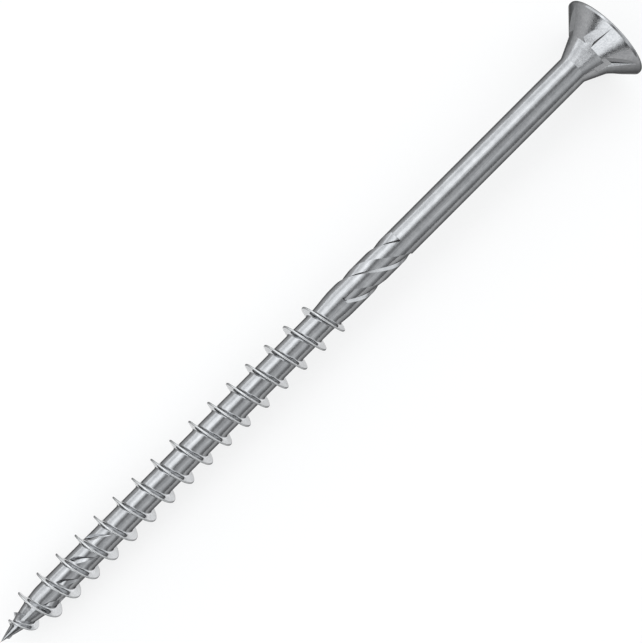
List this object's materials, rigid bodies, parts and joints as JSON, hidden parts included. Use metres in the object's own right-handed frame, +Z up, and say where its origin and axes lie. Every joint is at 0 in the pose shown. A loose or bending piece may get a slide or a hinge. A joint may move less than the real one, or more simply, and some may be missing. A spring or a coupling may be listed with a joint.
{
  "type": "chipboard screw",
  "caption": "Partially threaded countersunk chipboard screw with a star drive recess, milling pockets under the head, a grooved shank cutter and a notched cutting point.",
  "frame": {"origin": "on the ground, halfway between the point and the far edge of the head, straight under the axis, with the screw lying on the rim of its head and on one thread crest near its point", "axes": "+X along the lying screw from the point towards the head, +Y across it, +Z up; the axis of the screw rises 1.872 degrees from the point to the head"},
  "size_m": [0.1102, 0.0126, 0.0126],
  "materials": {
    "zinc_plated_steel": "bright zinc plate with a faint blue tint"
  },
  "bodies": {
    "root": {"screw": "zinc_plated_steel"}
  },
  "joints": []
}
